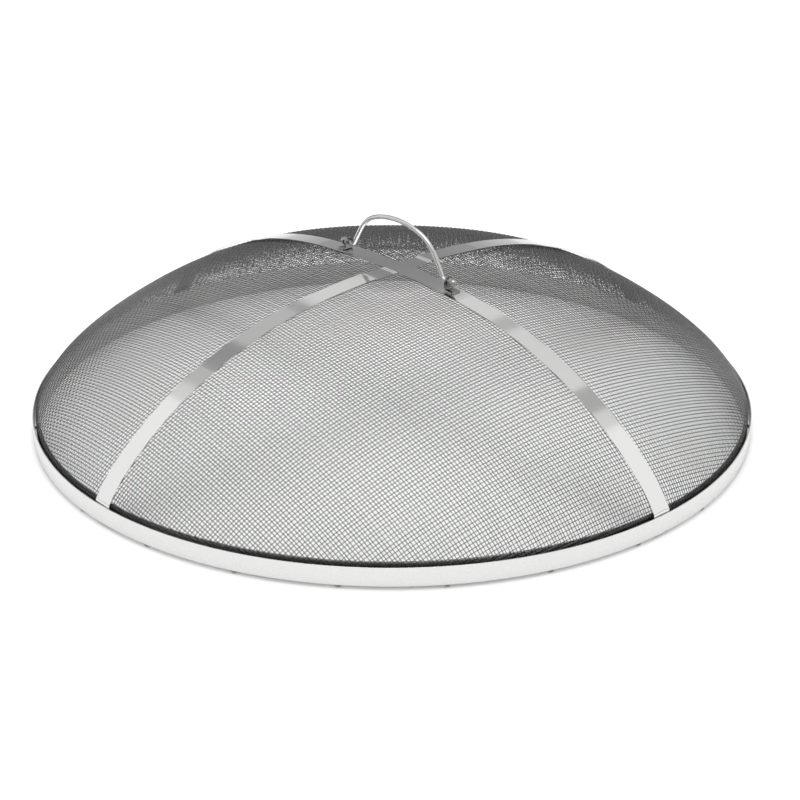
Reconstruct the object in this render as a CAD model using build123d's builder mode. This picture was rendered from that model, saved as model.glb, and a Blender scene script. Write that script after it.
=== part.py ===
from build123d import *
import math
import os

# Domed spark screen for a round fire pit, in millimetres. The origin is on the dome's axis, in the plane
# that the rim stands on. +Z is up, and +X runs along the upper strap, which carries the handle.

# Rim: an outer band and a taller ring inside it. The cloth's edge and the strap ends go between them.
RIM_DIAMETER = 914.4
BAND_THICKNESS = 1.5
BAND_BOTTOM = 4.0
BAND_TOP = 27.2
BAND_EDGE_RADIUS = 0.45
RING_HEIGHT = 31.0
RING_THICKNESS = 1.2
RING_EDGE_RADIUS = 0.3
RING_GAP = 1.45                 # between the ring and the cloth's upright edge
FIT = 0.05                      # gap between parts that lie on each other
FLAT_GAP = 0.65                 # gap where a flat strap lies against the band's round inside

# Dome: from the apex to the rim, each profile is a chain of tangent arcs that turns 90 degrees in all.
# Angles run from the apex outwards; radii leave out the crown's, which follows from the rim.
DOME_TOP = 200.5                # outer face of the straps
STRAP_ANGLES = (5.6, 17.6, 21.1, 15.0, 30.7)
STRAP_RADII = (566.0, 423.0, 163.0, 4.5)
CLOTH_ANGLES = (8.0, 13.0, 18.4, 20.9, 29.7)
CLOTH_RADII = (600.0, 542.0, 129.0, 2.8)
LOWER_SHIFT = 9.0               # the lower strap runs this far beside the axis, along the upper strap
CROSSING_GAP = 0.3              # between the two straps, where they cross
JOGGLE_INNER = 42.0             # from here to the crossing the lower strap is stepped down
JOGGLE_OUTER = 48.0             # from here outwards it lies as high as the upper strap
CLOTH_GAP = 0.3                 # between the lower strap and the cloth, at the apex and at the rim
CLOTH_THICKNESS = 1.7           # where two wires cross
CLOTH_EDGE = 7.0                # height of the cloth's cut edge above the ground

STRAP_WIDTH = 26.0
STRAP_THICKNESS = 1.5
STRAP_END = 9.0                 # height of the strap ends above the ground

# Tack welds that bridge the gap between the ring and the band's lower edge
TACK_COUNT = 24
TACK_PHASE = -4.6
TACK_LENGTH = 7.0
TACK_HEIGHT = 2.6
TACK_INSET = 0.5                # the bead stops this far short of the band's outer face
TACK_ROUND = 0.8

# Handle: a flat-topped bow on two straight legs that turn outwards at their feet into the pivots
ROD_DIAMETER = 6.0
HANDLE_CENTRE = 10.0            # along the upper strap, from the axis
HANDLE_RISE = 54.5
CROWN_RADIUS = 122.0
CROWN_ANGLE = 20.0              # from the middle of the bow to where the tighter curve begins
SHOULDER_RADIUS = 51.0
LEG_ANGLE = 60.0
FOOT_BEND = 7.0
PIVOT_HEIGHT = 207.5
ROD_END = 102.5                 # from the handle's centre

# Lugs: an upright ear with a foot that lies on the strap
LUG_FACE = 91.0                 # inner face of the ear, from the handle's centre
LUG_THICKNESS = 2.0
LUG_WIDTH = 13.0
LUG_FOOT = 14.0
LUG_BEND = 1.0
PIVOT_CLEARANCE = 0.05
EAR_FLAT = 0.02                 # width of the flat left on the ear's round top
WELD_LEG = 1.6
WELD_BULGE = 0.6                # middle of the bead's face, as a share of its leg
WELD_LENGTH = 10.0
WELD_SHIFT = 1.5                # outwards from the middle of the foot

# Washers and domed cap nuts on the rod's ends
SIDE_PLAY = 0.3
WASHER_THICKNESS = 1.0
WASHER_DIAMETER = 12.0
NUT_WIDTH = 10.0
NUT_HEX_HEIGHT = 5.0
NUT_EDGE_CHAMFER = 0.5
NUT_TOP_CHAMFER = 0.9
NUT_DOME_RADIUS = 4.7
NUT_HEIGHT = 11.0
NUT_BORE_SPARE = 0.2            # past the rod's end
THREAD_CLEARANCE = 0.02

rim_radius = RIM_DIAMETER / 2
band_inside = rim_radius - BAND_THICKNESS
strap_rim = band_inside - FLAT_GAP
cloth_rim = strap_rim - STRAP_THICKNESS - CLOTH_GAP
ring_outside = cloth_rim - CLOTH_THICKNESS - RING_GAP
lower_strap_top = DOME_TOP - STRAP_THICKNESS - CROSSING_GAP
cloth_top = lower_strap_top - STRAP_THICKNESS - CLOTH_GAP
rod_radius = ROD_DIAMETER / 2

os.makedirs("parts", exist_ok=True)


def arc_radii(angles, radii, rim):
    """The radii of a dome profile, with the crown's worked out so that the profile ends at the rim."""
    turned = [sum(angles[:i + 1]) for i in range(len(angles))]
    sines = [math.sin(math.radians(angle)) for angle in turned]
    outer = sum(radius * (sines[i + 1] - sines[i]) for i, radius in enumerate(radii))
    return [(rim - outer) / sines[0], *radii]


def dome_line(angles, radii, top, end):
    """Adds one face of a dome profile to the open BuildLine: the arcs, then straight down to end."""
    point, direction = (0, top), (1, 0)
    for angle, radius in zip(angles, radii):
        arc = JernArc(point, direction, radius, -angle)
        point, direction = arc @ 1, arc % 1
    foot = Line(point, (point.X, end))
    return foot @ 1


def dome_section(angles, radii, rim, top, thickness, end):
    """A dome profile of even thickness, from the axis outwards, as a sketch on XY."""
    outer = arc_radii(angles, radii, rim)
    inner = [radius - thickness for radius in outer]
    with BuildSketch() as section:
        with BuildLine():
            outer_end = dome_line(angles, outer, top, end)
            inner_end = dome_line(angles, inner, top - thickness, end)
            Line(outer_end, inner_end)
            Line((0, top), (0, top - thickness))
        make_face()
    return section.sketch


def crown_height(distance, top, inset):
    """Height of a strap's crown at a distance from the axis, on the face this far in from the outer one."""
    radius = arc_radii(STRAP_ANGLES, STRAP_RADII, strap_rim)[0] - inset
    return top - inset - radius + math.sqrt(radius ** 2 - distance ** 2)


def strap_drop(distance):
    """How far the strap's outer face has fallen at a distance from the axis, and its slope in degrees."""
    radii = arc_radii(STRAP_ANGLES, STRAP_RADII, strap_rim)
    crown = radii[0]
    edge = crown * math.sin(math.radians(STRAP_ANGLES[0]))
    if distance <= edge:
        slope = math.asin(distance / crown)
        return crown * (1 - math.cos(slope)), math.degrees(slope)
    start = math.radians(STRAP_ANGLES[0])
    haunch = radii[1]
    slope = math.asin(math.sin(start) + (distance - edge) / haunch)
    drop = crown * (1 - math.cos(start)) + haunch * (math.cos(start) - math.cos(slope))
    return drop, math.degrees(slope)


# ---------------------------------------------------------------- rim
with BuildPart() as rim_band:
    with BuildSketch(Plane.XZ):
        with BuildLine():
            Polyline((band_inside, BAND_BOTTOM), (rim_radius, BAND_BOTTOM), (rim_radius, BAND_TOP),
                     (band_inside, BAND_TOP), close=True)
        make_face()
        fillet(vertices(), radius=BAND_EDGE_RADIUS)
    revolve(axis=Axis.Z)
rim_band.part.label = "rim_band"
export_step(rim_band.part, "parts/rim_band.step")

with BuildPart() as inner_ring:
    with BuildSketch(Plane.XZ):
        with BuildLine():
            Polyline((ring_outside - RING_THICKNESS, 0), (ring_outside, 0), (ring_outside, RING_HEIGHT),
                     (ring_outside - RING_THICKNESS, RING_HEIGHT), close=True)
        make_face()
        fillet(vertices(), radius=RING_EDGE_RADIUS)
    revolve(axis=Axis.Z)
inner_ring.part.label = "inner_ring"
export_step(inner_ring.part, "parts/inner_ring.step")

# Each tack is a bead that lies across the gap, against the ring and under the band.
tack_plane = Plane(origin=(ring_outside + FIT, 0, BAND_BOTTOM - FIT), x_dir=(0, 1, 0), z_dir=(1, 0, 0))
with BuildPart() as tack:
    with BuildSketch(tack_plane):
        with BuildLine():
            bead = EllipticalCenterArc((0, 0), TACK_LENGTH / 2, TACK_HEIGHT, start_angle=180, arc_size=180)
            Line(bead @ 1, bead @ 0)
        make_face()
    extrude(amount=rim_radius - TACK_INSET - ring_outside)
    fillet(faces().sort_by(Axis.X)[-1].edges().filter_by(GeomType.ELLIPSE), radius=TACK_ROUND)

with BuildPart() as rim_tack_welds:
    with PolarLocations(0, TACK_COUNT, start_angle=TACK_PHASE):
        add(tack.part)
rim_tack_welds.part.label = "rim_tack_welds"
export_step(rim_tack_welds.part, "parts/rim_tack_welds.step")


# ---------------------------------------------------------------- dome
cloth_section = dome_section(CLOTH_ANGLES, CLOTH_RADII, cloth_rim, cloth_top, CLOTH_THICKNESS, CLOTH_EDGE)
strap_section = dome_section(STRAP_ANGLES, STRAP_RADII, strap_rim, DOME_TOP, STRAP_THICKNESS, STRAP_END)
stepped_section = dome_section(STRAP_ANGLES, STRAP_RADII, strap_rim, lower_strap_top, STRAP_THICKNESS,
                               STRAP_END)

with BuildPart() as wire_cloth_dome:
    with BuildSketch(Plane.XZ):
        add(cloth_section)
    revolve(axis=Axis.Z)
wire_cloth_dome.part.label = "wire_cloth_dome"
export_step(wire_cloth_dome.part, "parts/wire_cloth_dome.step")

# The lower strap is level with the upper one, but for a joggle that takes it under the crossing.
with BuildSketch() as crossing_section:
    add(stepped_section)
    with Locations((0, lower_strap_top)):
        Rectangle(2 * JOGGLE_INNER, JOGGLE_INNER, mode=Mode.INTERSECT)

with BuildSketch() as lower_section:
    add(strap_section)
    with Locations((0, DOME_TOP)):
        Rectangle(2 * JOGGLE_OUTER, JOGGLE_OUTER, mode=Mode.SUBTRACT)
    add(crossing_section.sketch)
    with BuildLine():
        Polyline((JOGGLE_INNER, crown_height(JOGGLE_INNER, lower_strap_top, 0)),
                 (JOGGLE_OUTER, crown_height(JOGGLE_OUTER, DOME_TOP, 0)),
                 (JOGGLE_OUTER, crown_height(JOGGLE_OUTER, DOME_TOP, STRAP_THICKNESS)),
                 (JOGGLE_INNER, crown_height(JOGGLE_INNER, lower_strap_top, STRAP_THICKNESS)), close=True)
    make_face()

with BuildPart() as lower_strap:
    with BuildSketch(Plane.YZ.offset(LOWER_SHIFT)):
        add(lower_section.sketch)
        mirror(about=Plane.YZ)
    extrude(amount=STRAP_WIDTH / 2, both=True)
lower_strap.part.label = "lower_strap"
export_step(lower_strap.part, "parts/lower_strap.step")

with BuildPart() as upper_strap:
    with BuildSketch(Plane.XZ):
        add(strap_section)
        mirror(about=Plane.YZ)
    extrude(amount=STRAP_WIDTH / 2, both=True)
upper_strap.part.label = "upper_strap"
export_step(upper_strap.part, "parts/upper_strap.step")


# ---------------------------------------------------------------- lugs
def foot_plane(side):
    """The plane at the middle of a lug's foot: X runs outwards along the strap, Z off its face."""
    middle = HANDLE_CENTRE + side * (LUG_FACE + LUG_FOOT / 2)
    drop, slope = strap_drop(abs(middle))
    lean = math.radians(slope) * (1 if middle > 0 else -1)
    outwards = (side * math.cos(lean), 0, -side * math.sin(lean))
    return Plane(origin=(middle, 0, DOME_TOP - drop + FIT), x_dir=outwards,
                 z_dir=(math.sin(lean), 0, math.cos(lean)))


for side, name in ((1, "lug_right"), (-1, "lug_left")):
    foot = foot_plane(side)
    inner_x = HANDLE_CENTRE + side * LUG_FACE
    outer_x = inner_x + side * LUG_THICKNESS
    ear_top = PIVOT_HEIGHT + LUG_WIDTH / 2
    toe = foot.from_local_coords(Vector(LUG_FOOT / 2, 0, 0))
    toe_top = foot.from_local_coords(Vector(LUG_FOOT / 2, 0, LUG_THICKNESS))
    rise = foot.x_dir.Z / foot.x_dir.X
    heel_z = toe.Z + (inner_x - toe.X) * rise
    crook_z = toe_top.Z + (outer_x - toe_top.X) * rise
    with BuildPart() as lug:
        with BuildSketch(Plane.XZ):
            with BuildLine():
                Polyline((inner_x, heel_z), (toe.X, toe.Z), (toe_top.X, toe_top.Z), (outer_x, crook_z),
                         (outer_x, ear_top), (inner_x, ear_top), close=True)
            make_face()
            fillet(vertices().sort_by_distance((inner_x, heel_z))[0], radius=LUG_THICKNESS + LUG_BEND)
            fillet(vertices().sort_by_distance((outer_x, crook_z))[0], radius=LUG_BEND)
        extrude(amount=LUG_WIDTH / 2, both=True)
        fillet(edges().filter_by(Axis.X).group_by(Axis.Z)[-1], radius=(LUG_WIDTH - EAR_FLAT) / 2)
        with Locations(Plane(origin=(inner_x, 0, PIVOT_HEIGHT), z_dir=(1, 0, 0))):
            Hole(rod_radius + PIVOT_CLEARANCE)
    lug.part.label = name
    export_step(lug.part, f"parts/{name}.step")

with BuildPart() as lug_weld_beads:
    for side in (1, -1):
        foot = foot_plane(side)
        start = foot.from_local_coords(Vector(-WELD_LENGTH / 2 + WELD_SHIFT, 0, 0))
        section = Plane(origin=start, x_dir=(0, 1, 0), z_dir=foot.x_dir)
        up = 1 if section.y_dir.Z > 0 else -1
        root = LUG_WIDTH / 2 + FIT
        with BuildSketch(section):
            with BuildLine():
                bulge = WELD_BULGE * WELD_LEG
                middle = (root + bulge, up * bulge)
                bead = ThreePointArc((root, up * WELD_LEG), middle, (root + WELD_LEG, 0))
                Polyline(bead @ 1, (root, 0), bead @ 0)
            make_face()
            mirror(about=Plane.YZ)
        extrude(amount=WELD_LENGTH)
lug_weld_beads.part.label = "lug_weld_beads"
export_step(lug_weld_beads.part, "parts/lug_weld_beads.step")


# ---------------------------------------------------------------- handle
crown_turn = math.radians(CROWN_ANGLE)
leg_turn = math.radians(LEG_ANGLE)
shoulder_end = (CROWN_RADIUS * math.sin(crown_turn)
                + SHOULDER_RADIUS * (math.sin(leg_turn) - math.sin(crown_turn)))
shoulder_drop = (CROWN_RADIUS * (1 - math.cos(crown_turn))
                 + SHOULDER_RADIUS * (math.cos(crown_turn) - math.cos(leg_turn)))
foot_rise = FOOT_BEND * (1 - math.cos(leg_turn))
leg_length = (HANDLE_RISE - shoulder_drop - foot_rise) / math.sin(leg_turn)
foot_start = shoulder_end + leg_length * math.cos(leg_turn) + FOOT_BEND * math.sin(leg_turn)
shoulder_turn = LEG_ANGLE - CROWN_ANGLE
handle_plane = Plane(origin=(HANDLE_CENTRE, 0, PIVOT_HEIGHT), x_dir=(1, 0, 0), z_dir=(0, -1, 0))

with BuildPart() as handle_rod:
    with BuildLine(handle_plane) as rod_line:
        left_pivot = Line((-ROD_END, 0), (-foot_start, 0))
        left_foot = JernArc(left_pivot @ 1, (1, 0), FOOT_BEND, LEG_ANGLE)
        left_leg = Line(left_foot @ 1, left_foot @ 1 + leg_length * (left_foot % 1))
        left_shoulder = JernArc(left_leg @ 1, left_leg % 1, SHOULDER_RADIUS, -shoulder_turn)
        crown = JernArc(left_shoulder @ 1, left_shoulder % 1, CROWN_RADIUS, -2 * CROWN_ANGLE)
        right_shoulder = JernArc(crown @ 1, crown % 1, SHOULDER_RADIUS, -shoulder_turn)
        right_leg = Line(right_shoulder @ 1, right_shoulder @ 1 + leg_length * (right_shoulder % 1))
        right_foot = JernArc(right_leg @ 1, right_leg % 1, FOOT_BEND, LEG_ANGLE)
        right_pivot = Line(right_foot @ 1, (ROD_END, 0))
    with BuildSketch(Plane(origin=rod_line.line @ 0, z_dir=rod_line.line % 0)):
        Circle(rod_radius)
    sweep(path=rod_line.line)
handle_rod.part.label = "handle_rod"
export_step(handle_rod.part, "parts/handle_rod.step")

washer_face = LUG_FACE + LUG_THICKNESS + SIDE_PLAY
nut_face = washer_face + WASHER_THICKNESS

with BuildPart() as handle_washers:
    for side in (1, -1):
        washer_x = HANDLE_CENTRE + side * washer_face
        with BuildSketch(Plane(origin=(washer_x, 0, PIVOT_HEIGHT), z_dir=(side, 0, 0))):
            Circle(WASHER_DIAMETER / 2)
            Circle(rod_radius + PIVOT_CLEARANCE, mode=Mode.SUBTRACT)
        extrude(amount=WASHER_THICKNESS)
handle_washers.part.label = "handle_washers"
export_step(handle_washers.part, "parts/handle_washers.step")

# A domed cap nut standing on the origin, with its blind bore open below.
bore_depth = ROD_END + NUT_BORE_SPARE - nut_face
dome_base = NUT_HEIGHT - NUT_DOME_RADIUS
dome_root = NUT_HEX_HEIGHT - NUT_EDGE_CHAMFER
corner_radius = NUT_WIDTH / math.sqrt(3)
with BuildPart() as cap_nut:
    with BuildSketch():
        RegularPolygon(NUT_WIDTH / 2, 6, major_radius=False)
    extrude(amount=NUT_HEX_HEIGHT)
    with BuildSketch(Plane.XZ):
        with BuildLine():
            Polyline((0, 0), (corner_radius - NUT_EDGE_CHAMFER, 0), (corner_radius, NUT_EDGE_CHAMFER),
                     (corner_radius, NUT_HEX_HEIGHT - NUT_EDGE_CHAMFER),
                     (corner_radius - NUT_TOP_CHAMFER, NUT_HEX_HEIGHT), (0, NUT_HEX_HEIGHT), close=True)
        make_face()
    revolve(axis=Axis.Z, mode=Mode.INTERSECT)
    with BuildSketch(Plane.XZ):
        with BuildLine():
            dome = JernArc((NUT_DOME_RADIUS, dome_base), (0, 1), NUT_DOME_RADIUS, 90)
            Polyline(dome @ 1, (0, dome_root), (NUT_DOME_RADIUS, dome_root), dome @ 0)
        make_face()
    revolve(axis=Axis.Z)
    with Locations(Plane(origin=(0, 0, 0), z_dir=(0, 0, -1))):
        Hole(rod_radius + THREAD_CLEARANCE, depth=bore_depth)

with BuildPart() as cap_nuts:
    for side in (1, -1):
        nut_x = HANDLE_CENTRE + side * nut_face
        with Locations(Plane(origin=(nut_x, 0, PIVOT_HEIGHT), z_dir=(side, 0, 0))):
            add(cap_nut.part)
cap_nuts.part.label = "cap_nuts"
export_step(cap_nuts.part, "parts/cap_nuts.step")
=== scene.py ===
import math

import bpy
import numpy as np
from mathutils import Euler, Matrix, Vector


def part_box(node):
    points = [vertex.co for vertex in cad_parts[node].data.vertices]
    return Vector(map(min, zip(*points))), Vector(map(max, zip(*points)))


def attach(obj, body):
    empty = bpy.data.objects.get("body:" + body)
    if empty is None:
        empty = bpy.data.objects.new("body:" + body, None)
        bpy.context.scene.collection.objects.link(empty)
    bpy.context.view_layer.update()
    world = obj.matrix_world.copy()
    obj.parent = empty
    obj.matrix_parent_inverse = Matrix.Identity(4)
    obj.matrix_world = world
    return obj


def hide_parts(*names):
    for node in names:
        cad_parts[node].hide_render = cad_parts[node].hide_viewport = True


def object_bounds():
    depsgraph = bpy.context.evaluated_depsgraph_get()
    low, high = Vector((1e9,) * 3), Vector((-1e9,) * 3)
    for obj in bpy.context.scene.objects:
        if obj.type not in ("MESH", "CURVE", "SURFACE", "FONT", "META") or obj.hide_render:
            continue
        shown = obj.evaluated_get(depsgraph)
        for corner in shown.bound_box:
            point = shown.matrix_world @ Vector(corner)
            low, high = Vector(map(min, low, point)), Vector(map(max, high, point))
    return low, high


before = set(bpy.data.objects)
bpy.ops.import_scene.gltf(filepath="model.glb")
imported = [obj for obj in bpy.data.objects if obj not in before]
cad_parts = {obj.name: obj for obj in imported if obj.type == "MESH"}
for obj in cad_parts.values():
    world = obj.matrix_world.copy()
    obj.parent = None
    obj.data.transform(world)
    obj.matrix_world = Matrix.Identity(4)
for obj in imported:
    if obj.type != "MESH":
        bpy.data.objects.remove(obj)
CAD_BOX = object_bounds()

bl_info = {
    "name": "Fire Pit Spark Screen",
    "version": (1, 0, 0),
    "blender": (4, 5, 0),
    "location": "View3D > Sidebar > Spark Screen",
    "description": "Weaves the wire cloth of a domed spark screen and finishes its steel",
    "category": "Object",
}

# Places and sizes in metres. +Z is up, and +X runs along the upper strap, which carries the handle.
SCREEN = "screen"

# The straps' outer face, from the apex to the rim: tangent arcs, then straight down.
STRAP_ANGLES = (5.6, 17.6, 21.1, 15.0, 30.7)
STRAP_RADII = (0.566, 0.423, 0.163, 0.0045)
STRAP_THICKNESS = 0.0015
STRAP_TO_CLOTH = 0.0003
CROSSING_STEP = 0.0018          # the lower strap presses the cloth this much further down at the crossing
STEP_START = 0.048              # the cloth starts to rise again here, and is back up at STEP_END
STEP_END = 0.080
SLACK = 0.0022                  # the cloth lies this much further down between the crown and the rim
SLACK_START = (0.05, 0.10)      # plan radii between which it goes down, and then comes up again
SLACK_END = (0.37, 0.44)
CLOTH_EDGE = 0.007              # height of the cloth's cut edge
PROFILE_STEPS = 160             # points on each arc of the cloth's profile

# The cloth is woven in three bands each way, each with about a third of the disc's area.
BAND_ENDS = (-1.0, -0.265, 0.265, 1.0)

# How wires stray: the phase from one wire to the next, then for a slow wave along a wire its turn
# at each crossing, how far its start wanders, and how quickly that changes from wire to wire
NEXT_WIRE = 2.399
WARP_WAVE = (0.031, 1.7, 0.37)
WEFT_WAVE = (0.029, 1.9, 0.41)

# Colours as shares of the strap's, the rim's and the handle's; the darker ones are painted shade
LUG_PAINTED_SHADE_SHARE = 0.38
RING_PAINTED_SHADE_SHARE = 0.85
WASHER_PAINTED_SHADE_SHARE = 0.35
NUT_PAINTED_SHADE_SHARE = 0.65

SENSOR_WIDTH = 36.0             # in millimetres, as Blender has it
CLIP_END = 100.0
FLOOR_TONE = (0.82, 0.82, 0.82, 1.0)
FLOOR_ROUGHNESS = 0.9
FLOOR_GLOW = 0.20               # keeps the floor pale in the object's shade
SOFTBOX_PLACE = Vector((0.2, -0.2, 2.6))
SOFTBOX_AIM = Vector((0, 0, 0.1))
SOFTBOX_SIZE = 1.4
SOFTBOX_POWER = 26.0            # in watts

# The studio's light, with the elevations in degrees between which one part gives way to the next
SKIRTING_LIGHT = 0.68
WALL_LIGHT = 0.30
PANEL_LIGHT = 0.85
CEILING_LIGHT = 1.20
WALL_FOOT = (0.0, 20.0)
PANEL_FOOT = (23.8, 24.8)
CEILING_FOOT = (45.0, 60.0)

# Round patches on them, bright reflectors first and then dimmer ones: azimuth, elevation and radius
# in degrees, and their own light
PATCHES = (
    (55, 28, 22, 1.12),
    (207, 27, 21, 1.12),
    (165, 38, 13.5, 0.62),
    (135, 25.5, 3.6, 0.32),
    (122, 38.8, 2.2, 0.56),
    (86, 47, 4.0, 0.52),
    (148, 32.3, 1.6, 0.42),
    (168, 41.2, 3.4, 0.36),
)
PATCH_EDGE = 0.6                # degrees to either side over which a patch fades in


# ------------------------------------------------------------------------------------------ settings
class ClothSettings(bpy.types.PropertyGroup):
    wire: bpy.props.FloatProperty(
        name="Wire", description="Diameter of one wire", default=0.00086, subtype="DISTANCE", unit="LENGTH")
    weft_pitch: bpy.props.FloatProperty(
        name="Weft Pitch", description="Distance between wires that run along the upper strap",
        default=0.00425, subtype="DISTANCE", unit="LENGTH")
    warp_pitch: bpy.props.FloatProperty(
        name="Warp Pitch", description="Distance between wires that cross the upper strap",
        default=0.0049, subtype="DISTANCE", unit="LENGTH")
    turn: bpy.props.FloatProperty(
        name="Turn", description="Direction of the weft, anticlockwise from the upper strap",
        default=math.radians(-3.5), subtype="ANGLE", unit="ROTATION")
    bow: bpy.props.FloatProperty(
        name="Bow", description="How far the warp bows aside, per metre squared from the middle",
        default=0.15)
    warp_crimp: bpy.props.FloatProperty(
        name="Warp Crimp", default=0.76, min=0, max=1,
        description="Share of the weave's wave that the warp takes; the weft takes the rest")
    sag: bpy.props.FloatProperty(
        name="Sag", description="How far the cloth lies below the straps' dome, midway between straps",
        default=0.0040, subtype="DISTANCE", unit="LENGTH")
    wander: bpy.props.FloatProperty(
        name="Wander", description="How far a wire strays from its even place",
        default=0.0003, subtype="DISTANCE", unit="LENGTH")
    colour: bpy.props.FloatVectorProperty(
        name="Colour", description="Colour of the drawn wire", default=(0.13, 0.13, 0.129), size=3,
        min=0, max=1, subtype="COLOR")


class SteelSettings(bpy.types.PropertyGroup):
    strap_colour: bpy.props.FloatVectorProperty(
        name="Straps", description="Colour of the cold-rolled strip over the dome",
        default=(0.72, 0.72, 0.715), size=3, min=0, max=1, subtype="COLOR")
    rim_colour: bpy.props.FloatVectorProperty(
        name="Rim", description="Colour of the rim band and ring", default=(0.68, 0.68, 0.675), size=3,
        min=0, max=1, subtype="COLOR")
    bright_colour: bpy.props.FloatVectorProperty(
        name="Handle", description="Colour of the polished handle, nuts and washers",
        default=(0.58, 0.58, 0.575), size=3, min=0, max=1, subtype="COLOR")
    weld_colour: bpy.props.FloatVectorProperty(
        name="Welds", description="Colour of the raw weld metal", default=(0.26, 0.255, 0.25), size=3,
        min=0, max=1, subtype="COLOR")
    tint_colour: bpy.props.FloatVectorProperty(
        name="Heat Tint", description="Colour of the weld metal that the heat has stained",
        default=(0.20, 0.18, 0.16), size=3, min=0, max=1, subtype="COLOR")


class StageSettings(bpy.types.PropertyGroup):
    camera_radius: bpy.props.FloatProperty(
        name="Camera Radius", description="Distance of the camera from the dome's axis, in plan",
        default=2.2897, subtype="DISTANCE", unit="LENGTH")
    camera_height: bpy.props.FloatProperty(
        name="Camera Height", description="Height of the camera above the floor",
        default=1.0866, subtype="DISTANCE", unit="LENGTH")
    camera_azimuth: bpy.props.FloatProperty(
        name="Camera Azimuth", description="Direction of the camera from the axis, anticlockwise from +X",
        default=math.radians(-42.11), subtype="ANGLE", unit="ROTATION")
    camera_pitch: bpy.props.FloatProperty(
        name="Camera Pitch", description="How far the camera looks down", default=math.radians(25.12),
        subtype="ANGLE", unit="ROTATION")
    camera_yaw: bpy.props.FloatProperty(
        name="Camera Yaw", description="How far the camera looks to the right of the axis",
        default=math.radians(0.25), subtype="ANGLE", unit="ROTATION")
    lens: bpy.props.FloatProperty(
        name="Lens", description="Focal length on a sensor 36 mm wide", default=88.1,
        subtype="DISTANCE_CAMERA")
    floor_size: bpy.props.FloatProperty(
        name="Floor", description="Width of the floor", default=60.0, subtype="DISTANCE", unit="LENGTH")


# ------------------------------------------------------------------------------------------ materials
class Signal:
    """One output of a node. Sums on it add Math nodes to its material."""

    def __init__(self, finish, socket):
        self.finish = finish
        self.socket = socket

    def sum(self, operation, *values):
        return self.finish.node("ShaderNodeMath", {"operation": operation}, dict(enumerate(values)))["Value"]

    def __add__(self, other):
        return self.sum("ADD", self, other)

    def __sub__(self, other):
        return self.sum("SUBTRACT", self, other)

    def __mul__(self, other):
        return self.sum("MULTIPLY", self, other)

    def __truediv__(self, other):
        return self.sum("DIVIDE", self, other)

    def __radd__(self, other):
        return self.sum("ADD", other, self)

    def __rsub__(self, other):
        return self.sum("SUBTRACT", other, self)

    def __rmul__(self, other):
        return self.sum("MULTIPLY", other, self)

    def between(self, low, high):
        """0 below low, 1 above high, and a smooth step between them."""
        settings = {"interpolation_type": "SMOOTHSTEP"}
        inputs = {"Value": self, "From Min": low, "From Max": high}
        return self.finish.node("ShaderNodeMapRange", settings, inputs)["Result"]


class Outputs:
    """A node's outputs by name, as signals."""

    def __init__(self, finish, node):
        self.finish = finish
        self.node = node

    def __getitem__(self, name):
        return Signal(self.finish, self.node.outputs[name])


class Nodes:
    """The empty node tree of a new material or world."""

    def __init__(self, owner):
        owner.use_nodes = True
        self.tree = owner.node_tree
        self.tree.nodes.clear()

    def node(self, kind, settings=None, inputs=None):
        """Adds a node. Its settings come first, then the values or links of its inputs."""
        node = self.tree.nodes.new(kind)
        for name, value in (settings or {}).items():
            setattr(node, name, value)
        for name, value in (inputs or {}).items():
            if isinstance(value, Signal):
                self.tree.links.new(value.socket, node.inputs[name])
            else:
                node.inputs[name].default_value = value
        return Outputs(self, node)


# A Mix node's sockets for colours, which share their names with those for numbers
MIX_SHARE, MIX_FIRST, MIX_SECOND = 0, 6, 7
MIX_RESULT = 2


class Finish(Nodes):
    """A new material, and the patterns on it."""

    def __init__(self, name):
        self.material = bpy.data.materials.new(name)
        super().__init__(self.material)
        self.place = self.node("ShaderNodeTexCoord")["Object"]

    def stretched(self, along, across, turn=0.0):
        """The object's own place, drawn out for a grain that runs along X, or turned from it about Z."""
        return self.node("ShaderNodeMapping", {"vector_type": "TEXTURE"}, {
            "Vector": self.place, "Rotation": (0, 0, turn), "Scale": (along, across, across)})["Vector"]

    def round_rim(self, along, across):
        """Places along a hoop about Z: the way round, then the height and the radius."""
        parts = self.node("ShaderNodeSeparateXYZ", inputs={"Vector": self.place})
        x, y, z = parts["X"], parts["Y"], parts["Z"]
        way = Signal.sum(x, "ARCTAN2", y, x) * (CAD_BOX[1].x / along)
        radius = Signal.sum(x, "SQRT", x * x + y * y)
        return self.node("ShaderNodeCombineXYZ", inputs={
            "X": way, "Y": z / across, "Z": radius / across})["Vector"]

    def noise(self, vector, detail, roughness=0.55):
        """Noise with one lump for each unit of the place that it is given."""
        return self.node("ShaderNodeTexNoise", inputs={
            "Vector": vector, "Scale": 1.0, "Detail": detail, "Roughness": roughness})["Fac"]

    def mix(self, share, first, second):
        """A colour between two, by a share from 0 to 1."""
        node = self.node("ShaderNodeMix", {"data_type": "RGBA"}).node
        self.tree.links.new(share.socket, node.inputs[MIX_SHARE])
        for index, colour in ((MIX_FIRST, first), (MIX_SECOND, second)):
            if isinstance(colour, Signal):
                self.tree.links.new(colour.socket, node.inputs[index])
            else:
                node.inputs[index].default_value = (*colour, 1.0)
        return Signal(self, node.outputs[MIX_RESULT])

    def bump(self, height, distance, strength):
        return self.node("ShaderNodeBump", inputs={
            "Height": height, "Distance": distance, "Strength": strength})["Normal"]

    def steel(self, colour, roughness, normal=None):
        """Ends the material as bare metal."""
        inputs = {"Base Color": colour, "Roughness": roughness, "Metallic": 1.0}
        if normal is not None:
            inputs["Normal"] = normal
        shader = self.node("ShaderNodeBsdfPrincipled", inputs=inputs)["BSDF"]
        self.node("ShaderNodeOutputMaterial", inputs={"Surface": shader})
        return self.material


def shade(colour, factor):
    """A colour made darker or lighter."""
    return tuple(min(1.0, part * factor) for part in colour)


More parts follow.
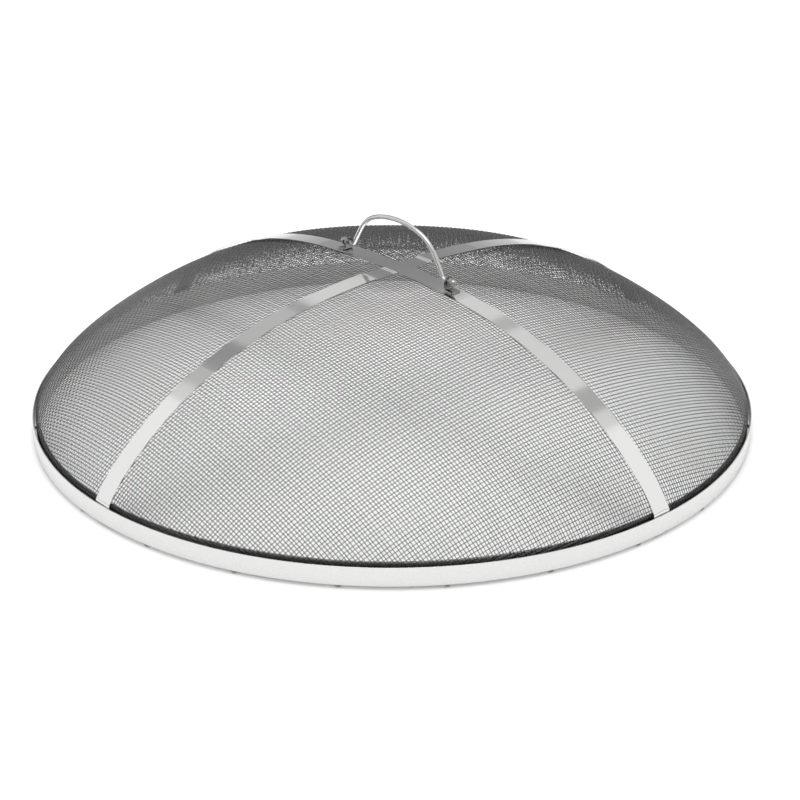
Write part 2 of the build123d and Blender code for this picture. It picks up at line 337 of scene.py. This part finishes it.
def rolled_strip(name, colour, turn):
    """Cold-rolled stainless strip: bright, with fine rolling lines along it and a faint haze."""
    finish = Finish(name)
    lines = finish.noise(finish.stretched(along=0.06, across=0.00035, turn=turn), detail=4)
    haze = finish.noise(finish.stretched(along=0.05, across=0.02, turn=turn), detail=2)
    scratches = finish.noise(finish.stretched(along=0.012, across=0.0012, turn=turn), detail=5, roughness=0.7)
    scuffs = scratches.between(0.60, 0.74)
    tone = finish.mix(lines, shade(colour, 0.94), shade(colour, 1.05))
    roughness = 0.05 + 0.05 * lines + 0.04 * haze + 0.07 * scuffs
    return finish.steel(tone, roughness, finish.bump(lines, 0.00001, 0.05))


def rolled_hoop(name, colour):
    """The same strip rolled on edge into a hoop, so that its lines run round."""
    finish = Finish(name)
    lines = finish.noise(finish.round_rim(along=0.05, across=0.0004), detail=4)
    haze = finish.noise(finish.round_rim(along=0.04, across=0.02), detail=2)
    scratches = finish.noise(finish.round_rim(along=0.010, across=0.0015), detail=5, roughness=0.7)
    scuffs = scratches.between(0.60, 0.76)
    tone = finish.mix(lines, shade(colour, 0.95), shade(colour, 1.04))
    roughness = 0.20 + 0.08 * lines + 0.06 * haze + 0.10 * scuffs
    return finish.steel(tone, roughness, finish.bump(lines, 0.00001, 0.15))


def drawn_wire(name, colour):
    """Drawn stainless wire: a little darker from stretch to stretch."""
    finish = Finish(name)
    patches = finish.noise(finish.stretched(along=0.03, across=0.03), detail=3)
    grain = finish.noise(finish.stretched(along=0.0012, across=0.0012), detail=2)
    tone = finish.mix(patches, shade(colour, 0.88), shade(colour, 1.10))
    return finish.steel(tone, 0.20 + 0.12 * grain)


def polished_steel(name, colour):
    """Polished stainless rod and fasteners, with a soft wave and small scratches in the polish."""
    finish = Finish(name)
    wave = finish.noise(finish.stretched(along=0.008, across=0.008), detail=2)
    scratches = finish.noise(finish.stretched(along=0.006, across=0.0004), detail=4, roughness=0.7)
    tone = finish.mix(wave, shade(colour, 0.95), shade(colour, 1.04))
    roughness = 0.09 + 0.06 * wave + 0.08 * scratches.between(0.55, 0.75)
    return finish.steel(tone, roughness, finish.bump(scratches, 0.00001, 0.10))


def weld_metal(name, colour, tint):
    """Raw weld metal: frozen ripples, dark between them, with straw heat tint in patches."""
    finish = Finish(name)
    ripples = finish.noise(finish.stretched(along=0.0009, across=0.0009), detail=3)
    patches = finish.noise(finish.stretched(along=0.004, across=0.004), detail=2).between(0.45, 0.62)
    tone = finish.mix(patches, finish.mix(ripples, shade(colour, 0.6), shade(colour, 1.2)), tint)
    return finish.steel(tone, 0.32 + 0.22 * ripples, finish.bump(ripples, 0.0003, 0.8))


def give(node, material):
    """Gives a CAD node its material."""
    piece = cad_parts[node]
    piece.data.materials.clear()
    piece.data.materials.append(material)


# ------------------------------------------------------------------------------------------ modelling
def ramp(value, start, end):
    """0 before start, 1 past end, and a smooth step between them."""
    share = np.clip((value - start) / (end - start), 0, 1)
    return share * share * (3 - 2 * share)


def cloth_profile(wire):
    """The cloth under a strap, from the apex out: the way along it, plan radius, height and slope."""
    _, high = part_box("upper_strap")
    offset = STRAP_THICKNESS + STRAP_TO_CLOTH + wire
    turned = np.radians(np.cumsum(STRAP_ANGLES))
    spans = np.diff(np.sin(turned)) * STRAP_RADII
    radii = [(high.x - spans.sum()) / math.sin(turned[0]), *STRAP_RADII]
    reach, fall, slopes = [np.zeros(1)], [np.zeros(1)], [np.zeros(1)]
    start = 0.0
    for radius, end in zip(radii, turned):
        bend = np.linspace(start, end, PROFILE_STEPS)[1:]
        reach.append(reach[-1][-1] + (radius - offset) * (np.sin(bend) - math.sin(start)))
        fall.append(fall[-1][-1] + (radius - offset) * (math.cos(start) - np.cos(bend)))
        slopes.append(bend)
        start = end
    reach, fall, slopes = (np.concatenate(part) for part in (reach, fall, slopes))
    height = high.z - offset - fall - CROSSING_STEP * (1 - ramp(reach, STEP_START, STEP_END))
    height -= SLACK * ramp(reach, *SLACK_START) * (1 - ramp(reach, *SLACK_END))
    reach = np.append(reach, reach[-1])
    height = np.append(height, CLOTH_EDGE)
    slopes = np.append(slopes, slopes[-1])
    way = np.concatenate([[0], np.cumsum(np.hypot(np.diff(reach), np.diff(height)))])
    return way, reach, height, slopes


class Dome:
    """The surface that the wires are woven on."""

    def __init__(self, settings):
        self.way, self.reach, self.height, self.slope = cloth_profile(settings.wire)
        self.sag = settings.sag
        self.turn = settings.turn
        self.length = self.way[-1]

    def settle(self, u, v, lift):
        """Places on the dome for places on the flat cloth, lifted along the dome's normal."""
        along = np.hypot(u, v)
        turn = np.arctan2(v, u) + self.turn
        radius = np.interp(along, self.way, self.reach)
        share = radius / self.reach[-1]
        belly = 1.5 * math.sqrt(3) * share * (1 - share ** 2)      # 0 at both ends, and 1 at its fullest
        height = np.interp(along, self.way, self.height) - self.sag * belly * np.sin(2 * turn) ** 2
        slope = np.interp(along, self.way, self.slope)
        radius = radius + lift * np.sin(slope)
        height = height + lift * np.cos(slope)
        return np.stack([radius * np.cos(turn), radius * np.sin(turn), height], 1), along < self.length


def stray(wire, along, wave):
    """How far a wire strays at each crossing along it, from -2 to 2."""
    turn, wander, change = wave
    return np.sin(NEXT_WIRE * wire) + np.sin(turn * along + wander * np.sin(change * wire))


def weave(name, dome, settings, rows, columns, along_rows):
    """One piece of the cloth: the wires that run along the rows of a lattice, or across them."""
    low_row, high_row = rows
    low_column, high_column = columns
    row_count, column_count = high_row - low_row, high_column - low_column
    bpy.ops.object.select_all(action="DESELECT")
    bpy.ops.mesh.primitive_grid_add(x_subdivisions=column_count, y_subdivisions=row_count, size=1)
    piece = bpy.context.active_object
    piece.name = name
    mesh = piece.data
    flat = np.empty(len(mesh.vertices) * 3)
    mesh.vertices.foreach_get("co", flat)
    flat = flat.reshape(-1, 3)
    column = np.rint((flat[:, 0] + 0.5) * column_count).astype(int) + low_column
    row = np.rint((flat[:, 1] + 0.5) * row_count).astype(int) + low_row

    # Each wire passes over one neighbour and under the next, and strays a little from its even place.
    v = row * settings.weft_pitch
    u = column * settings.warp_pitch - settings.bow * v ** 2
    u = u + settings.wander * stray(column, row, WARP_WAVE)
    v = v + settings.wander * stray(row, column, WEFT_WAVE)
    crimp = settings.warp_crimp - 1 if along_rows else settings.warp_crimp
    side = np.where((row + column) % 2 == 0, 1, -1)
    place, kept = dome.settle(u, v, side * crimp * settings.wire)
    mesh.vertices.foreach_set("co", place.ravel())

    # The net's edges that join one wire to the next go, and so does all that is past the cloth's edge.
    ends = np.empty(len(mesh.edges) * 2, int)
    mesh.edges.foreach_get("vertices", ends)
    ends = ends.reshape(-1, 2)
    crossing = (row if along_rows else column)[ends]
    across = crossing[:, 0] != crossing[:, 1]
    cut = across | ~kept[ends].all(1)
    mesh.polygons.foreach_set("select", np.zeros(len(mesh.polygons), bool))
    mesh.vertices.foreach_set("select", np.zeros(len(mesh.vertices), bool))
    mesh.edges.foreach_set("select", cut)
    bpy.context.tool_settings.mesh_select_mode = (False, True, False)
    bpy.ops.object.mode_set(mode="EDIT")
    bpy.ops.mesh.delete(type="EDGE")
    bpy.ops.mesh.select_mode(type="VERT")
    bpy.ops.mesh.select_all(action="SELECT")
    bpy.ops.mesh.delete_loose(use_verts=True, use_edges=False, use_faces=False)
    bpy.ops.object.mode_set(mode="OBJECT")

    bpy.ops.object.convert(target="CURVE")
    curve = bpy.context.active_object.data
    curve.bevel_depth = settings.wire / 2
    curve.bevel_resolution = 1
    curve.use_fill_caps = True
    bpy.ops.object.convert(target="MESH")
    bpy.ops.object.shade_smooth()
    return bpy.context.active_object


# ------------------------------------------------------------------------------------------ operators
class SPARKSCREEN_OT_cloth(bpy.types.Operator):
    """Weave the domed wire cloth, one piece for each third of the wires that run one way"""
    bl_idname = "spark_screen.cloth"
    bl_label = "Wire Cloth"

    def execute(self, context):
        settings = context.scene.cloth_settings
        dome = Dome(settings)
        material = drawn_wire("drawn_wire", settings.colour)
        rows = math.ceil(dome.length / settings.weft_pitch) + 1
        columns = math.ceil((dome.length + settings.bow * dome.length ** 2) / settings.warp_pitch) + 1
        for number, (start, end) in enumerate(zip(BAND_ENDS, BAND_ENDS[1:]), 1):
            shared = 1 if end < 1.0 else 0       # the wire where two bands meet belongs to the second
            row_band = (round(start * rows), round(end * rows) - shared)
            column_band = (round(start * columns), round(end * columns) - shared)
            for name, band_rows, band_columns, along_rows in (
                    (f"weft_wires_{number}", row_band, (-columns, columns), True),
                    (f"warp_wires_{number}", (-rows, rows), column_band, False)):
                piece = weave(name, dome, settings, band_rows, band_columns, along_rows)
                piece.data.materials.append(material)
                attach(piece, SCREEN)
                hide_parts("wire_cloth_dome")
        return {"FINISHED"}


class SPARKSCREEN_OT_straps(bpy.types.Operator):
    """Finish the two flat straps and the lugs"""
    bl_idname = "spark_screen.straps"
    bl_label = "Straps and Lugs"

    def execute(self, context):
        colour = context.scene.steel_settings.strap_colour
        give("upper_strap", rolled_strip("strip_along_x", colour, 0.0))
        give("lower_strap", rolled_strip("strip_along_y", colour, math.radians(90)))
        # The lugs are painted darker than the straps: painted shade for their shadow and dark reflections
        painted_shade_lug = rolled_strip("lug_plate_painted_shade", shade(colour, LUG_PAINTED_SHADE_SHARE), 0.0)
        give("lug_left", painted_shade_lug)
        give("lug_right", painted_shade_lug)
        return {"FINISHED"}


class SPARKSCREEN_OT_rim(bpy.types.Operator):
    """Finish the rim band and the ring inside it"""
    bl_idname = "spark_screen.rim"
    bl_label = "Rim"

    def execute(self, context):
        colour = context.scene.steel_settings.rim_colour
        give("rim_band", rolled_hoop("rim_strip", colour))
        # The ring is painted darker than the band: painted shade for its face in the band's shadow
        give("inner_ring", rolled_hoop("ring_strip_painted_shade", shade(colour, RING_PAINTED_SHADE_SHARE)))
        return {"FINISHED"}


class SPARKSCREEN_OT_welds(bpy.types.Operator):
    """Finish the tack welds under the rim and the welds at the lugs"""
    bl_idname = "spark_screen.welds"
    bl_label = "Welds"

    def execute(self, context):
        settings = context.scene.steel_settings
        metal = weld_metal("weld_metal", settings.weld_colour, settings.tint_colour)
        give("rim_tack_welds", metal)
        give("lug_weld_beads", metal)
        return {"FINISHED"}


class SPARKSCREEN_OT_handle(bpy.types.Operator):
    """Finish the bail handle, its washers and its cap nuts"""
    bl_idname = "spark_screen.handle"
    bl_label = "Handle"

    def execute(self, context):
        colour = context.scene.steel_settings.bright_colour
        give("handle_rod", polished_steel("polished_rod", colour))
        # The washers are painted dark: painted shade for the shadow ring round each nut
        give("handle_washers", polished_steel("washer_painted_shade", shade(colour, WASHER_PAINTED_SHADE_SHARE)))
        # The cap nuts are painted darker than the rod: painted shade and a painted dark reflection of the
        # strap
        give("cap_nuts", polished_steel("polished_nut_painted_shade", shade(colour, NUT_PAINTED_SHADE_SHARE)))
        return {"FINISHED"}


class SPARKSCREEN_OT_stage(bpy.types.Operator):
    """Set the camera, the pale floor and the soft studio light"""
    bl_idname = "spark_screen.stage"
    bl_label = "Stage"

    def execute(self, context):
        settings = context.scene.stage_settings
        self.camera(context, settings)
        self.floor(settings)
        self.softbox()
        self.world(context)
        return {"FINISHED"}

    def camera(self, context, settings):
        azimuth = settings.camera_azimuth
        place = (settings.camera_radius * math.cos(azimuth), settings.camera_radius * math.sin(azimuth),
                 settings.camera_height)
        turn = Euler((math.pi / 2 - settings.camera_pitch, 0, azimuth + math.pi / 2 - settings.camera_yaw))
        bpy.ops.object.camera_add(location=place, rotation=turn)
        camera = context.active_object
        camera.data.sensor_width = SENSOR_WIDTH
        camera.data.lens = settings.lens
        camera.data.clip_end = CLIP_END
        context.scene.camera = camera
        context.scene.view_settings.view_transform = "Standard"

    def floor(self, settings):
        bpy.ops.object.select_all(action="DESELECT")
        bpy.ops.mesh.primitive_plane_add(size=settings.floor_size, location=(0, 0, CAD_BOX[0].z))
        floor = bpy.context.active_object
        floor.name = "floor"
        finish = Finish("pale_floor")
        shader = finish.node("ShaderNodeBsdfPrincipled", inputs={
            "Base Color": FLOOR_TONE, "Roughness": FLOOR_ROUGHNESS, "Specular IOR Level": 0.0,
            "Emission Color": (1.0, 1.0, 1.0, 1.0), "Emission Strength": FLOOR_GLOW})["BSDF"]
        finish.node("ShaderNodeOutputMaterial", inputs={"Surface": shader})
        floor.data.materials.append(finish.material)

    def softbox(self):
        turn = (SOFTBOX_AIM - SOFTBOX_PLACE).to_track_quat("-Z", "Y").to_euler()
        bpy.ops.object.light_add(type="AREA", location=SOFTBOX_PLACE, rotation=turn)
        light = bpy.context.active_object
        light.name = "overhead_softbox"
        light.data.shape = "SQUARE"
        light.data.size = SOFTBOX_SIZE
        light.data.energy = SOFTBOX_POWER

    def world(self, context):
        """Grey walls low down, bright panels above them, and darker and brighter patches on the panels."""
        world = bpy.data.worlds.new("studio")
        context.scene.world = world
        nodes = Nodes(world)
        direction = nodes.node("ShaderNodeTexCoord")["Generated"]
        height = nodes.node("ShaderNodeSeparateXYZ", inputs={"Vector": direction})["Z"]
        light = below = SKIRTING_LIGHT
        parts = ((WALL_FOOT, WALL_LIGHT), (PANEL_FOOT, PANEL_LIGHT), (CEILING_FOOT, CEILING_LIGHT))
        for foot, above in parts:
            light = light + (above - below) * height.between(*np.sin(np.radians(foot)))
            below = above
        for azimuth, elevation, radius, own in PATCHES:
            azimuth, elevation = math.radians(azimuth), math.radians(elevation)
            middle = (math.cos(azimuth) * math.cos(elevation), math.sin(azimuth) * math.cos(elevation),
                      math.sin(elevation))
            near = nodes.node("ShaderNodeVectorMath", {"operation": "DOT_PRODUCT"},
                              {0: direction, 1: middle})["Value"]
            inner, outer = (math.cos(math.radians(radius + edge)) for edge in (-PATCH_EDGE, PATCH_EDGE))
            light = light + near.between(outer, inner) * (own - light)
        shader = nodes.node("ShaderNodeBackground", inputs={"Color": light, "Strength": 1.0})["Background"]
        nodes.node("ShaderNodeOutputWorld", inputs={"Surface": shader})


STEPS = (SPARKSCREEN_OT_cloth, SPARKSCREEN_OT_straps, SPARKSCREEN_OT_rim, SPARKSCREEN_OT_welds,
         SPARKSCREEN_OT_handle, SPARKSCREEN_OT_stage)
SETTINGS = {"cloth_settings": ClothSettings, "steel_settings": SteelSettings, "stage_settings": StageSettings}


class SPARKSCREEN_PT_panel(bpy.types.Panel):
    """Lists the settings and the steps of the spark screen"""
    bl_idname = "SPARKSCREEN_PT_panel"
    bl_label = "Spark Screen"
    bl_space_type = "VIEW_3D"
    bl_region_type = "UI"
    bl_category = "Spark Screen"

    def draw(self, context):
        for name, group in SETTINGS.items():
            box = self.layout.box()
            for field in group.__annotations__:
                box.prop(getattr(context.scene, name), field)
        for step in STEPS:
            self.layout.operator(step.bl_idname)


def register():
    for group in (*SETTINGS.values(), *STEPS, SPARKSCREEN_PT_panel):
        bpy.utils.register_class(group)
    for name, group in SETTINGS.items():
        setattr(bpy.types.Scene, name, bpy.props.PointerProperty(type=group))


def unregister():
    for name in SETTINGS:
        delattr(bpy.types.Scene, name)
    for group in (SPARKSCREEN_PT_panel, *reversed(STEPS), *SETTINGS.values()):
        bpy.utils.unregister_class(group)


def main():
    register()
    bpy.ops.spark_screen.cloth()
    bpy.ops.spark_screen.straps()
    bpy.ops.spark_screen.rim()
    bpy.ops.spark_screen.welds()
    bpy.ops.spark_screen.handle()
    bpy.ops.spark_screen.stage()


if __name__ == "__main__":
    main()
